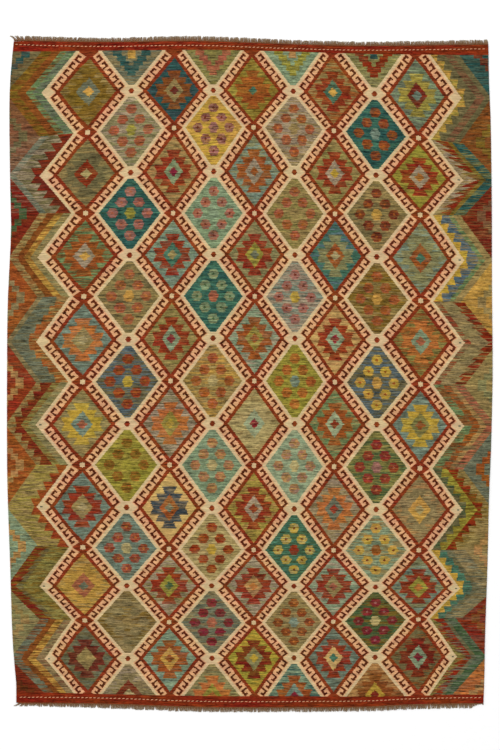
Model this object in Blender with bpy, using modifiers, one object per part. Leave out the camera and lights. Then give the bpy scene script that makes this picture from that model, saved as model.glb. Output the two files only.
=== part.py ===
"""A flat-woven kilim rug, lying flat, with its short warp ends left as a fringe.

The rug is one weft-faced wool cloth. Its selvedges and its two ends bow in and
out by a few centimetres, as a hand-woven rug does. Along each end the warps
are knotted into a narrow strip, and their cut ends stand out of it as locks.

The frame: X runs across the rug, Y along its length towards the far end, Z up.
The origin is the middle of the underside, on the surface that the rug lies on.
Everything is in metres.
"""

import random
from collections import namedtuple

import bpy

# Driving dimensions.
CLOTH_THICKNESS = 0.0040  # wool kilim, two layers of weft over the warp
EDGE_ROUNDING = 0.0010  # how far the woven edges are rounded off
FRINGE_THICKNESS = 0.0030  # knotted warp ends, flatter than the cloth
SEAM_GAP = 0.0003  # between the cloth's end and the strip of knots
STRIP_DEPTH = 0.0050  # the strip of knots, along the warp
LOCKS_PER_END = 148
LOCK_ROOT_SHARE = 0.84  # of the pitch, so that the locks stand apart
LOCK_TIP_SHARE = 0.52
LOCK_LENGTH_SPREAD = 0.0022  # how unevenly the warps were cut
LOCK_LEAN = 0.0020  # how far a lock's tip strays to either side
CORNER_LEAN = 0.0150  # the left corner's lock is pushed out sideways
WORN_LOCK_EVERY = 31  # one lock in this many has worn down to a stump
WORN_SHARE = 0.35
SIDE_STEPS = 36
END_STEPS = 30
WOOL_SEED = 11

# The selvedges, at stations along the length.
Selvedge = namedtuple("Selvedge", "along left right")
SELVEDGES = (
    Selvedge(along=1.405, left=-0.991, right=1.002),
    Selvedge(along=1.224, left=-1.007, right=1.005),
    Selvedge(along=1.069, left=-1.010, right=1.012),
    Selvedge(along=0.758, left=-1.006, right=1.016),
    Selvedge(along=0.603, left=-1.003, right=1.017),
    Selvedge(along=0.292, left=-1.017, right=1.018),
    Selvedge(along=-0.019, left=-1.020, right=1.020),
    Selvedge(along=-0.330, left=-1.020, right=1.013),
    Selvedge(along=-0.485, left=-1.018, right=1.006),
    Selvedge(along=-0.796, left=-1.007, right=0.999),
    Selvedge(along=-1.107, left=-0.997, right=0.988),
    Selvedge(along=-1.262, left=-0.985, right=0.986),
    Selvedge(along=-1.405, left=-0.971, right=0.981),
)

# The woven ends and the tips of their fringes, at stations across the width.
WovenEnd = namedtuple("WovenEnd", "across far_cloth far_tips near_cloth near_tips")
WOVEN_ENDS = (
    WovenEnd(across=-1.000, far_cloth=1.401, far_tips=1.420, near_cloth=-1.383, near_tips=-1.395),
    WovenEnd(across=-0.775, far_cloth=1.394, far_tips=1.413, near_cloth=-1.384, near_tips=-1.399),
    WovenEnd(across=-0.566, far_cloth=1.392, far_tips=1.409, near_cloth=-1.388, near_tips=-1.405),
    WovenEnd(across=-0.251, far_cloth=1.397, far_tips=1.418, near_cloth=-1.399, near_tips=-1.417),
    WovenEnd(across=-0.041, far_cloth=1.391, far_tips=1.410, near_cloth=-1.402, near_tips=-1.418),
    WovenEnd(across=0.169, far_cloth=1.383, far_tips=1.400, near_cloth=-1.401, near_tips=-1.419),
    WovenEnd(across=0.484, far_cloth=1.376, far_tips=1.392, near_cloth=-1.399, near_tips=-1.415),
    WovenEnd(across=0.694, far_cloth=1.378, far_tips=1.395, near_cloth=-1.389, near_tips=-1.409),
    WovenEnd(across=1.000, far_cloth=1.382, far_tips=1.401, near_cloth=-1.384, near_tips=-1.406),
)

# A piece's colour, as it shows from a few steps away.
Finish = namedtuple("Finish", "red green blue roughness")
WOOL = Finish(red=0.235, green=0.125, blue=0.058, roughness=0.92)
WARP_YARN = Finish(red=0.190, green=0.150, blue=0.105, roughness=0.95)


def smooth_reading(table, where, column, at):
    """A column of a table at a place between its rows, on a smooth curve through them.

    The curve is a cubic in each interval, whose slope at a row is the slope
    between that row's neighbours.
    """
    rows = sorted(table, key=lambda row: getattr(row, where))
    places = [getattr(row, where) for row in rows]
    values = [getattr(row, column) for row in rows]
    last = len(rows) - 1
    at = min(max(at, places[0]), places[last])
    low = max(i for i in range(last) if places[i] <= at)
    high = low + 1

    def slope(i):
        before = max(i - 1, 0)
        after = min(i + 1, last)
        return (values[after] - values[before]) / (places[after] - places[before])

    span = places[high] - places[low]
    t = (at - places[low]) / span
    return (
        values[low] * (2 * t**3 - 3 * t**2 + 1)
        + values[high] * (3 * t**2 - 2 * t**3)
        + slope(low) * span * (t**3 - 2 * t**2 + t)
        + slope(high) * span * (t**3 - t**2)
    )


def selvedge(side, y):
    return smooth_reading(SELVEDGES, "along", side, y)


def woven_end(column, x):
    return smooth_reading(WOVEN_ENDS, "across", column, x)


def corner(side, column):
    """Where a selvedge meets an end. Each is nearly straight there, so two rounds find it."""
    x = selvedge(side, woven_end(column, 0.0))
    for _ in range(2):
        x = selvedge(side, woven_end(column, x))
    return x, woven_end(column, x)


def between(start, end, steps):
    """The places from start up to, and without, end."""
    return [start + (end - start) * i / steps for i in range(steps)]


def wool_material(name, finish):
    material = bpy.data.materials.new(name)
    material.use_nodes = True
    shader = material.node_tree.nodes["Principled BSDF"]
    shader.inputs["Base Color"].default_value = (finish.red, finish.green, finish.blue, 1.0)
    shader.inputs["Roughness"].default_value = finish.roughness
    shader.inputs["Metallic"].default_value = 0.0
    return material


def flat_piece(name, outline, thickness, finish, collection):
    """A flat piece of that outline and thickness, which lies on Z = 0."""
    curve = bpy.data.curves.new(name, "CURVE")
    curve.dimensions = "2D"
    curve.fill_mode = "BOTH"
    curve.extrude = thickness / 2
    spline = curve.splines.new("POLY")
    spline.points.add(len(outline) - 1)
    for point, (x, y) in zip(spline.points, outline):
        point.co = (x, y, 0.0, 1.0)
    spline.use_cyclic_u = True
    curve.materials.append(wool_material(name + "_wool", finish))
    piece = bpy.data.objects.new(name, curve)
    piece.location.z = thickness / 2
    collection.objects.link(piece)
    return piece


def cloth_outline():
    """The cloth's edge, anticlockwise from the far left corner."""
    far_left = corner("left", "far_cloth")
    near_left = corner("left", "near_cloth")
    near_right = corner("right", "near_cloth")
    far_right = corner("right", "far_cloth")
    down = between(far_left[1], near_left[1], SIDE_STEPS)
    across = between(near_left[0], near_right[0], END_STEPS)
    up = between(near_right[1], far_right[1], SIDE_STEPS)
    back = between(far_right[0], far_left[0], END_STEPS)
    return (
        [(selvedge("left", y), y) for y in down]
        + [(x, woven_end("near_cloth", x)) for x in across]
        + [(selvedge("right", y), y) for y in up]
        + [(x, woven_end("far_cloth", x)) for x in back]
    )


def make_cloth(collection):
    cloth = flat_piece("kilim_cloth", cloth_outline(), CLOTH_THICKNESS, WOOL, collection)
    weld = cloth.modifiers.new("join_caps", "WELD")
    weld.merge_threshold = 0.00005
    rounding = cloth.modifiers.new("round_edges", "BEVEL")
    rounding.width = EDGE_ROUNDING
    rounding.segments = 2
    rounding.limit_method = "ANGLE"
    rounding.use_clamp_overlap = False


def lock_outline(x, root_y, tip_y, pitch, lean):
    """One lock as a tapered tooth: its root, its two tip corners and its root again."""
    root = pitch * LOCK_ROOT_SHARE / 2
    tip = pitch * LOCK_TIP_SHARE / 2
    return [
        (x - root, root_y),
        (x + lean - tip, tip_y),
        (x + lean + tip, tip_y),
        (x + root, root_y),
    ]


def fringe_outline(end, away, rng):
    """The strip of knots along one end, with its locks. away is the way the locks point along Y."""
    left = corner("left", end + "_cloth")[0]
    right = corner("right", end + "_cloth")[0]
    pitch = (right - left) / LOCKS_PER_END
    locks = []
    for i in range(LOCKS_PER_END):
        x = left + pitch * (i + 0.5)
        root_y = woven_end(end + "_cloth", x) + away * (SEAM_GAP + STRIP_DEPTH)
        tip_y = woven_end(end + "_tips", x)
        tip_y += away * rng.uniform(-LOCK_LENGTH_SPREAD, 0.0)
        if i % WORN_LOCK_EVERY == WORN_LOCK_EVERY - 1:
            tip_y = root_y + (tip_y - root_y) * WORN_SHARE
        lean = rng.uniform(-LOCK_LEAN, LOCK_LEAN)
        if i == 0:
            lean = -CORNER_LEAN
        locks += lock_outline(x, root_y, tip_y, pitch, lean)
    seam = [
        (x, woven_end(end + "_cloth", x) + away * SEAM_GAP)
        for x in between(right, left, END_STEPS) + [left]
    ]
    return locks + seam


def make_fringes(collection):
    rng = random.Random(WOOL_SEED)
    for end, away in (("far", 1.0), ("near", -1.0)):
        outline = fringe_outline(end, away, rng)
        flat_piece(end + "_fringe", outline, FRINGE_THICKNESS, WARP_YARN, collection)


def main():
    for leftover in list(bpy.data.objects):
        bpy.data.objects.remove(leftover)
    rug = bpy.data.collections.new("kilim_rug")
    bpy.context.scene.collection.children.link(rug)
    make_cloth(rug)
    make_fringes(rug)


main()
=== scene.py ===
"""The looks of a flat-woven kilim rug, laid out as an add-on and run as a script.

The rug's pattern is drawn on a chart, as a weaver counts it. The chart's columns
and rows run through the middles of the diamonds: diamonds outlined in red stand
where both numbers are even, diamonds outlined in cream where both are odd. A
chart place is turned into a place on the rug by two short tables, which hold how
the columns and rows wander in the weaving. The cloth is one closed surface over
the chart, and its material draws every motif from the chart place and from the
dyes that each diamond's faces carry.
"""

from collections import namedtuple

import bpy
import numpy as np
from bpy.props import FloatProperty, FloatVectorProperty, IntProperty, PointerProperty
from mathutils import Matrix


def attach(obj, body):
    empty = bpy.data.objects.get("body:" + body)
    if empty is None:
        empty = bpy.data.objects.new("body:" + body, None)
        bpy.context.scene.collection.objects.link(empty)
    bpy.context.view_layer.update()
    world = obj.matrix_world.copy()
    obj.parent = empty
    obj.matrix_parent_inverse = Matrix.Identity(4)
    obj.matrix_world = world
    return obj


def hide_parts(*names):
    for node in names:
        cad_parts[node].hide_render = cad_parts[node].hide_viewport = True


bl_info = {
    "name": "Kilim Rug",
    "version": (1, 0, 0),
    "blender": (4, 5, 0),
    "location": "View3D > Sidebar > Kilim",
    "description": "Weaves a flat kilim rug with its diamonds, stitched end bands and fringe",
    "category": "Add Mesh",
}

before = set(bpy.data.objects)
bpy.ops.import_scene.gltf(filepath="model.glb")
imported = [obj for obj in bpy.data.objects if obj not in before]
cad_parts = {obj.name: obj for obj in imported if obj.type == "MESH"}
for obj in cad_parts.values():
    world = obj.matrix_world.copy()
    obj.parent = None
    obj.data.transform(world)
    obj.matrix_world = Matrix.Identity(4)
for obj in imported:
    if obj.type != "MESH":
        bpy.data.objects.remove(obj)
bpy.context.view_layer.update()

MM = 0.001

# The chart. A column runs along the rug and a row across it.
HALF_COLUMN = 0.175  # from one column of the chart to the next, on average
HALF_ROW = 0.1695  # from one row to the next
FIRST_COLUMN = -1
LAST_COLUMN = 9
FIRST_ROW = -1
LAST_ROW = 15
LEFT_SELVEDGE = -1.75  # chart places of the cloth's edges
RIGHT_SELVEDGE = 9.70
FAR_END = -1.25
NEAR_END = 15.22
BAND_NEAR = 14.93  # where the near band starts, on average
MIDDLE_COLUMN = 4
FACES_PER_STEP = 12  # faces of the cloth from one column or row to the next
WARP_STEP = 1 / 50  # columns: one warp, 3.5 mm
WEFT_STEP = 1 / 60  # rows: two passes of weft, 2.8 mm
CHART_MM = (HALF_COLUMN / MM, HALF_ROW / MM, 0)

# Where each column lies across the rug, in metres, at rows 0, 5, 10 and 15.
COLUMN_STATIONS = (0, 5, 10, 15)
Column = namedtuple("Column", "number far upper lower near")
COLUMNS = (
    Column(-1, -0.859, -0.880, -0.880, -0.831),
    Column(0, -0.677, -0.698, -0.704, -0.679),
    Column(1, -0.499, -0.509, -0.519, -0.509),
    Column(2, -0.318, -0.329, -0.340, -0.337),
    Column(3, -0.155, -0.155, -0.161, -0.159),
    Column(4, 0.011, 0.019, 0.015, 0.019),
    Column(5, 0.181, 0.188, 0.185, 0.185),
    Column(6, 0.347, 0.357, 0.351, 0.350),
    Column(7, 0.522, 0.532, 0.529, 0.523),
    Column(8, 0.700, 0.716, 0.710, 0.706),
    Column(9, 0.875, 0.888, 0.880, 0.847),
)

# The outer diamonds are a little wider on the selvedge's side: at once, past the middle of
# the crossing, by these many millimetres.
WIDER = namedtuple("Wider", "left right")(8, 4)
WIDENS_IN = 0.15  # columns

# Where each row lies along the rug, in metres, at columns 0, 4 and 8.
ROW_STATIONS = (0, 4, 8)
Row = namedtuple("Row", "number left middle right")
ROWS = (
    Row(-1, 1.352, 1.357, 1.352),
    Row(0, 1.184, 1.188, 1.167),
    Row(1, 1.013, 1.035, 0.989),
    Row(2, 0.838, 0.848, 0.824),
    Row(3, 0.674, 0.673, 0.667),
    Row(4, 0.493, 0.500, 0.484),
    Row(5, 0.324, 0.324, 0.306),
    Row(6, 0.139, 0.149, 0.136),
    Row(7, -0.035, -0.031, -0.045),
    Row(8, -0.213, -0.210, -0.217),
    Row(9, -0.383, -0.386, -0.398),
    Row(10, -0.561, -0.567, -0.572),
    Row(11, -0.730, -0.741, -0.742),
    Row(12, -0.892, -0.892, -0.900),
    Row(13, -1.036, -1.046, -1.032),
    Row(14, -1.197, -1.194, -1.190),
    Row(15, -1.357, -1.367, -1.358),
)

# Where the pattern stops and the red end bands start, as chart rows.
BandEdge = namedtuple("BandEdge", "column far near")
BAND_EDGES = (
    BandEdge(-1.0, -1.02, 14.92),
    BandEdge(1.0, -1.02, 14.92),
    BandEdge(3.0, -1.02, 14.93),
    BandEdge(5.0, -0.97, 14.93),
    BandEdge(7.0, -0.93, 14.97),
    BandEdge(9.0, -0.94, 14.97),
)

# The dyer's book, as sRGB hex.
DYES = {
    "madder": "#77260f",
    "dark_red": "#6c2413",
    "red_brown": "#7a3216",
    "hook_brown": "#54240f",
    "cream": "#c9ae83",
    "blush": "#d19c70",
    "stitch_cream": "#d9a47c",
    "olive_gold": "#8a7a34",
    "olive_brown": "#6e541b",
    "olive_green": "#786f3a",
    "khaki": "#877244",
    "khaki_grey": "#625939",
    "pale_khaki": "#a08e5c",
    "beige": "#98865c",
    "mustard": "#b4883f",
    "amber": "#a57e38",
    "gold": "#a98b31",
    "lime": "#867c2e",
    "moss": "#60744a",
    "grey_green": "#7a744b",
    "deep_green": "#3e5232",
    "teal": "#3f654f",
    "deep_teal": "#274b45",
    "sea_green": "#748460",
    "aqua": "#778668",
    "pale_aqua": "#8c9471",
    "blue_grey": "#6a7968",
    "slate": "#606450",
    "slate_blue": "#4c5c62",
    "navy": "#383f42",
    "lilac_grey": "#907e66",
    "mauve": "#8e5e54",
    "mauve_brown": "#806f49",
    "tan": "#9c7444",
    "straw": "#bb995b",
    "umber": "#6f4a31",
    "orange": "#a3602d",
    "rust": "#8a491d",
    "russet": "#76421a",
    "coral": "#93543a",
    "red": "#802f17",
    "crimson": "#76202a",
    "maroon": "#62281a",
    "warp_grey": "#9a8569",
    "warp_brown": "#664a32",
}

# The motifs, by chart row and column, with their dyes. The streak runs through the ground.
Motif = namedtuple("Motif", "row column dyes")
LAYER_DYES = ("ground", "streak", "figure", "ring", "heart", "crossing")
VEE_DYES = ("ground", "streak", "figure", "heart")
GORE_DYES = ("gore", "hook")
CARRIED_DYES = (*LAYER_DYES, *GORE_DYES)
MEDALLION, SPOTS, VEE, BORDER = range(4)  # the kinds of motif

# The diamonds outlined in red: ground, streak, stepped star, the ring in it and its heart.
MEDALLIONS = (
    Motif(0, 0, "olive_brown khaki olive_brown slate mustard"),
    Motif(0, 2, "deep_teal navy russet khaki dark_red"),
    Motif(0, 4, "olive_gold olive_brown rust rust teal"),
    Motif(0, 6, "khaki rust red teal mustard"),
    Motif(0, 8, "slate sea_green olive_gold dark_red blue_grey"),
    Motif(2, 0, "khaki_grey khaki khaki_grey madder pale_khaki"),
    Motif(2, 2, "khaki tan red sea_green crimson"),
    Motif(2, 4, "blue_grey grey_green rust lilac_grey rust"),
    Motif(2, 6, "khaki olive_green red lilac_grey gold"),
    Motif(2, 8, "lime olive_gold red lilac_grey orange"),
    Motif(4, 0, "moss russet rust lilac_grey mustard"),
    Motif(4, 2, "blue_grey aqua red teal khaki"),
    Motif(4, 4, "grey_green mauve_brown red lime slate"),
    Motif(4, 6, "teal slate_blue grey_green rust beige"),
    Motif(4, 8, "grey_green blue_grey grey_green rust teal"),
    Motif(6, 0, "blue_grey slate orange khaki beige"),
    Motif(6, 2, "khaki olive_green red aqua crimson"),
    Motif(6, 4, "aqua lilac_grey rust olive_gold rust"),
    Motif(6, 6, "tan straw red aqua crimson"),
    Motif(6, 8, "olive_green rust orange aqua coral"),
    Motif(8, 0, "khaki grey_green gold blue_grey coral"),
    Motif(8, 2, "lilac_grey khaki_grey orange olive_gold gold"),
    Motif(8, 4, "pale_khaki khaki pale_khaki pale_aqua crimson"),
    Motif(8, 6, "moss khaki rust pale_aqua red"),
    Motif(8, 8, "blue_grey slate gold olive_green rust"),
    Motif(10, 0, "blue_grey slate red khaki beige"),
    Motif(10, 2, "straw straw navy rust slate"),
    Motif(10, 4, "olive_gold tan red lilac_grey red"),
    Motif(10, 6, "mauve_brown lilac_grey orange slate red"),
    Motif(10, 8, "mauve_brown tan mauve_brown mustard pale_khaki"),
    Motif(12, 0, "amber khaki amber coral slate"),
    Motif(12, 2, "lilac_grey olive_green red lime deep_green"),
    Motif(12, 4, "lilac_grey grey_green red tan orange"),
    Motif(12, 6, "aqua lilac_grey red khaki coral"),
    Motif(12, 8, "blue_grey grey_green red lime orange"),
    Motif(14, 0, "khaki_grey slate maroon khaki khaki"),
    Motif(14, 2, "aqua blue_grey rust mustard rust"),
    Motif(14, 4, "lime gold dark_red grey_green gold"),
    Motif(14, 6, "slate blue_grey red straw teal"),
    Motif(14, 8, "khaki_grey russet dark_red aqua crimson"),
    # The half diamonds that the near end cuts off hold stars too.
    Motif(15, 1, "mauve_brown lilac_grey mauve_brown dark_red beige"),
    Motif(15, 3, "grey_green khaki orange lime orange"),
    Motif(15, 5, "aqua deep_teal rust blue_grey crimson"),
    Motif(15, 7, "tan russet russet gold dark_red"),
)

# The half diamonds that the far end cuts off: ground, streak, stepped V and middle mark.
VEES = (
    Motif(-1, 1, "slate mauve_brown deep_teal mustard"),
    Motif(-1, 3, "olive_green grey_green coral olive_green"),
    Motif(-1, 5, "aqua sea_green lime tan"),
    Motif(-1, 7, "grey_green olive_green madder deep_teal"),
)

# The diamonds outlined in cream: ground, streak, the two dyes of the eight spots, the middle
# mark and the spots' eye.
SPOTTED = (
    Motif(1, 1, "grey_green lilac_grey coral rust lime coral"),
    Motif(1, 3, "mustard gold mauve maroon mauve maroon"),
    Motif(1, 5, "lilac_grey khaki rust coral khaki orange"),
    Motif(1, 7, "deep_teal teal rust maroon blue_grey rust"),
    Motif(3, 1, "deep_teal teal mauve coral lime coral"),
    Motif(3, 3, "sea_green aqua coral mauve aqua maroon"),
    Motif(3, 5, "khaki olive_green coral rust khaki rust"),
    Motif(3, 7, "khaki khaki_grey maroon rust mustard rust"),
    Motif(5, 1, "khaki khaki_grey coral rust mustard orange"),
    Motif(5, 3, "teal deep_teal sea_green grey_green coral deep_green"),
    Motif(5, 5, "lilac_grey blue_grey mauve coral gold maroon"),
    Motif(5, 7, "olive_brown khaki rust coral mustard rust"),
    Motif(7, 1, "khaki_grey slate_blue red rust gold rust"),
    Motif(7, 3, "khaki amber rust coral pale_khaki rust"),
    Motif(7, 5, "lime olive_gold rust orange blue_grey orange"),
    Motif(7, 7, "khaki_grey slate_blue gold mustard mustard rust"),
    Motif(9, 1, "lime olive_gold olive_brown rust lime olive_brown"),
    Motif(9, 3, "aqua sea_green tan coral pale_khaki tan"),
    Motif(9, 5, "pale_aqua aqua tan mauve pale_khaki tan"),
    Motif(9, 7, "olive_green deep_green red crimson mauve coral"),
    Motif(11, 1, "blue_grey slate red coral pale_khaki orange"),
    Motif(11, 3, "pale_khaki khaki madder rust gold rust"),
    Motif(11, 5, "teal deep_green gold pale_khaki red maroon"),
    Motif(11, 7, "aqua khaki mustard gold rust maroon"),
    Motif(13, 1, "mauve_brown olive_brown mauve_brown khaki_grey khaki mauve_brown"),
    Motif(13, 3, "slate mauve_brown crimson maroon coral crimson"),
    Motif(13, 5, "khaki mauve_brown rust maroon blue_grey orange"),
    Motif(13, 7, "deep_green olive_brown crimson maroon pale_khaki mauve"),
)

# The side borders: nested chevrons around the tips of the outer diamonds, of four layers.
# The dyes are those of the first layer, of the rows in it, of the second, the third and the
# fourth layer and of the rows that cross these three. Each layer has its width across the
# rug at the tip, and the first three the depth of the teeth on their outer edge, all in mm.
Chevron = namedtuple("Chevron", "row column dyes widths teeth")
CHEVRONS = (
    Chevron(0, -1, "slate moss moss russet olive_brown russet", (36, 26, 34, 44), (0, 0, 0)),
    Chevron(2, -1, "maroon madder khaki_grey slate slate lilac_grey", (18, 82, 30, 1), (46, 0, 0)),
    Chevron(4, -1, "khaki grey_green amber russet khaki russet", (32, 31, 27, 40), (0, 0, 8)),
    Chevron(
        6, -1, "rust khaki slate mauve_brown mauve_brown khaki_grey", (34, 74, 22, 1), (18, 0, 0)
    ),
    Chevron(
        8, -1, "grey_green khaki olive_green dark_red khaki russet", (34, 30, 20, 48), (0, 0, 34)
    ),
    Chevron(10, -1, "rust red khaki khaki khaki olive_gold", (12, 60, 40, 20), (40, 0, 0)),
    Chevron(
        12,
        -1,
        "olive_green olive_brown olive_green khaki_grey dark_red olive_brown",
        (42, 32, 33, 36),
        (0, 0, -16),
    ),
    Chevron(14, -1, "mauve_brown umber amber russet slate russet", (36, 34, 25, 44), (0, 0, 8)),
    Chevron(
        0, 9, "olive_gold amber khaki_grey umber khaki_grey khaki_grey", (7, 52, 34, 26), (34, 0, 0)
    ),
    Chevron(
        2, 9, "lilac_grey khaki madder olive_brown deep_teal olive_green", (55, 14, 20, 46), (-44, 0, 0)
    ),
    Chevron(4, 9, "gold mustard slate_blue moss khaki khaki", (7, 52, 26, 32), (34, 8, 0)),
    Chevron(6, 9, "mauve_brown red mauve_brown madder madder khaki", (27, 76, 28, 1), (0, -24, 0)),
    Chevron(8, 9, "moss russet rust tan coral khaki_grey", (33, 32, 28, 38), (10, 8, 0)),
    Chevron(
        10, 9, "khaki_grey deep_green lime madder khaki olive_brown", (11, 52, 16, 52), (32, 0, 34)
    ),
    Chevron(12, 9, "gold mustard teal khaki_grey mauve_brown slate", (9, 42, 32, 66), (32, 16, 0)),
    Chevron(
        14, 9, "olive_green madder madder khaki_grey deep_green slate", (43, 18, 18, 40), (-34, 0, 0)
    ),
)

# The half diamonds that the selvedges cut off between the chevrons: ground and stepped hook.
GORES = (
    Motif(-1, -1, "khaki_grey deep_teal"),
    Motif(1, -1, "umber khaki_grey"),
    Motif(3, -1, "dark_red deep_green"),
    Motif(5, -1, "rust mauve_brown"),
    Motif(7, -1, "red tan"),
    Motif(9, -1, "rust tan"),
    Motif(11, -1, "aqua tan"),
    Motif(13, -1, "grey_green khaki"),
    Motif(15, -1, "dark_red hook_brown"),
    Motif(-1, 9, "deep_teal maroon"),
    Motif(1, 9, "russet olive_brown"),
    Motif(3, 9, "dark_red umber"),
    Motif(5, 9, "amber khaki"),
    Motif(7, 9, "khaki grey_green"),
    Motif(9, 9, "slate rust"),
    Motif(11, 9, "khaki tan"),
    Motif(13, 9, "madder russet"),
    Motif(15, 9, "orange tan"),
)

# The outlines. Both coordinates of the strip come from a, the columns from the nearest even
# one, and b, the rows from the nearest even one: across it ACROSS_STRIP . (a, b), which is
# 1 near the strip's inner edge, and along it ALONG_STRIP . (a, b), in millimetres.
ACROSS_STRIP = (1 / 0.673, 1 / 0.888, 0)
ALONG_STRIP = (-107.5, 133.6, 0)
RED_LINE_FROM = 0.935
HOOKS_FROM = 1.09
CREAM_LINE_FROM = 1.435
CREAM_LINE_TO = 1.555
SPLIT = 1.25  # the strip's middle, where faces change from one diamond's dyes to the next
FIRST_HOOK = -75  # along the strip, in millimetres
HOOK_PITCH = 37
HOOKS = 5
CREAM_UNTIL = -0.12  # in hooks: where the cream node ends and the ground of the hooks starts
DASHED_FROM = (-0.75, 7.0)  # the dashes lie below the row that this slope and start give
BORDER_MM = 117.8  # millimetres across the rug for a step of 1 across the strip


def linear(hex_colour):
    """An sRGB hex colour as linear red, green and blue."""
    srgb = np.array([int(hex_colour[i : i + 2], 16) for i in (1, 3, 5)]) / 255
    return tuple(np.where(srgb <= 0.04045, srgb / 12.92, ((srgb + 0.055) / 1.055) ** 2.4))


def dye_property(name, hex_colour):
    return FloatVectorProperty(
        name=name.replace("_", " ").capitalize(),
        description="The wool dyed " + name.replace("_", " "),
        subtype="COLOR",
        size=3,
        min=0.0,
        max=1.0,
        default=linear(hex_colour),
    )


class KilimDyes(bpy.types.PropertyGroup):
    """The dyed wools, one colour for each."""

    __annotations__ = {name: dye_property(name, colour) for name, colour in DYES.items()}


def length_property(name, description, default):
    return FloatProperty(
        name=name,
        description=description,
        default=default,
        min=0.0,
        unit="LENGTH",
        subtype="DISTANCE",
    )


class KilimSizes(bpy.types.PropertyGroup):
    """The sizes of the cloth, its stitching and its fringe."""

    thickness: length_property("Thickness", "Thickness of the cloth", 0.004)
    lift: length_property(
        "Lift", "How far the cloth stands off the floor at the crest of a slow wave", 0.0016
    )
    stitch_length: length_property(
        "Stitch length", "Length of a cream stitch of the twined lines", 0.0140
    )
    stitch_pitch: length_property("Stitch pitch", "From one cream stitch to the next", 0.0172)
    strands: IntProperty(
        name="Strands", description="Strands of the fringe at each end", default=1500, min=20
    )
    strand_width: length_property(
        "Strand width", "Width of a warp strand of the fringe, at its root", 0.0027
    )


# ---------------------------------------------------------------- the chart on the rug


EDGE_DEPTH = 0.045  # an edge's points lie within this of the outermost one


def outline_of_cloth():
    """The cloth's four edges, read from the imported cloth: for each its stations and its places."""
    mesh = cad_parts["kilim_cloth"].data
    points = np.empty(len(mesh.vertices) * 3)
    mesh.vertices.foreach_get("co", points)
    points = points.reshape(-1, 3)
    thickness = points[:, 2].max()
    rim = points[np.abs(points[:, 2] - thickness / 2) < 0.49 * thickness]
    low = rim.min(axis=0)
    high = rim.max(axis=0)
    edges = {}
    for name, axis, extreme in (
        ("left", 0, low[0]),
        ("right", 0, high[0]),
        ("far", 1, high[1]),
        ("near", 1, low[1]),
    ):
        edge = rim[np.abs(rim[:, axis] - extreme) < EDGE_DEPTH]
        other = 1 - axis
        edge = edge[np.argsort(edge[:, other])]
        edges[name] = (edge[:, other], edge[:, axis])
    return edges


EDGES = outline_of_cloth()


def edge_at(name, station):
    return np.interp(station, *EDGES[name])


def between_lines(places, numbers):
    """The shares of the chart's lines at each place: one line has all of it at its own
    number, and it falls off evenly to none at the next line."""
    return np.clip(1 - np.abs(places[..., None] - numbers), 0, 1)


def on_the_rug(s, t):
    """Where chart column s and row t lie on the rug, for arrays of them.

    Inside the pattern, x is read along the columns, by the cubic through a column's
    four stations, and evenly between two columns. y is read the same way along the
    rows, by the quadratic through a row's three stations. Past the outermost lines
    both go on evenly to the cloth's edge.
    """
    numbers = np.array([column.number for column in COLUMNS])
    cubics = np.polyfit(COLUMN_STATIONS, np.array([column[1:] for column in COLUMNS]).T, 3)
    t_inside = np.clip(t, FIRST_ROW, LAST_ROW)
    s_inside = np.clip(s, FIRST_COLUMN, LAST_COLUMN)
    powers = t_inside[..., None] ** np.arange(3, -1, -1)
    x = ((powers @ cubics) * between_lines(s_inside, numbers)).sum(axis=-1)
    x = x - WIDER.left * MM * np.clip((0 - s) / WIDENS_IN, 0, 1)
    x = x + WIDER.right * MM * np.clip((s - 2 * MIDDLE_COLUMN) / WIDENS_IN, 0, 1)
    numbers = np.array([row.number for row in ROWS])
    quadratics = np.polyfit(ROW_STATIONS, np.array([row[1:] for row in ROWS]).T, 2)
    powers = s_inside[..., None] ** np.arange(2, -1, -1)
    y = ((powers @ quadratics) * between_lines(t_inside, numbers)).sum(axis=-1)
    past_far = np.clip((FIRST_ROW - t) / (FIRST_ROW - FAR_END), 0, 1)
    past_near = np.clip((t - LAST_ROW) / (NEAR_END - LAST_ROW), 0, 1)
    y = y + past_far * (edge_at("far", x) - y) + past_near * (edge_at("near", x) - y)
    past_left = np.clip((FIRST_COLUMN - s) / (FIRST_COLUMN - LEFT_SELVEDGE), 0, 1)
    past_right = np.clip((s - LAST_COLUMN) / (RIGHT_SELVEDGE - LAST_COLUMN), 0, 1)
    x = x + past_left * (edge_at("left", y) - x) + past_right * (edge_at("right", y) - x)
    return x, y


# The cloth's slow waves: length, how far it sways with the other way's place, the length of
# that sway, and its start in radians.
Wave = namedtuple("Wave", "length sway sway_length start")
ACROSS_WAVE = Wave(length=0.83, sway=0.11, sway_length=1.3, start=0.0)
ALONG_WAVE = Wave(length=0.61, sway=0.17, sway_length=1.7, start=0.8)


def wave_at(here, aside, wave):
    sway = wave.sway * np.sin(2 * np.pi * aside / wave.sway_length)
    return 0.5 + 0.5 * np.sin(2 * np.pi * (here / wave.length + sway) + wave.start)


def lift_of_floor(x, y, height):
    """How far the cloth stands off the floor: the product of two slow waves, one across
    the rug and one along it, from 0 to height."""
    return height * wave_at(x, y, ACROSS_WAVE) * wave_at(y, x, ALONG_WAVE)


# ---------------------------------------------------------------- meshes and materials


def make_piece(name, points, faces, material, smooth=True):
    """A mesh object at the origin, with its place in its mesh."""
    mesh = bpy.data.meshes.new(name)
    mesh.from_pydata(points.reshape(-1, 3).tolist(), [], faces)
    mesh.polygons.foreach_set("use_smooth", np.full(len(mesh.polygons), smooth))
    mesh.materials.append(material)
    piece = bpy.data.objects.new(name, mesh)
    bpy.context.scene.collection.objects.link(piece)
    return piece


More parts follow.
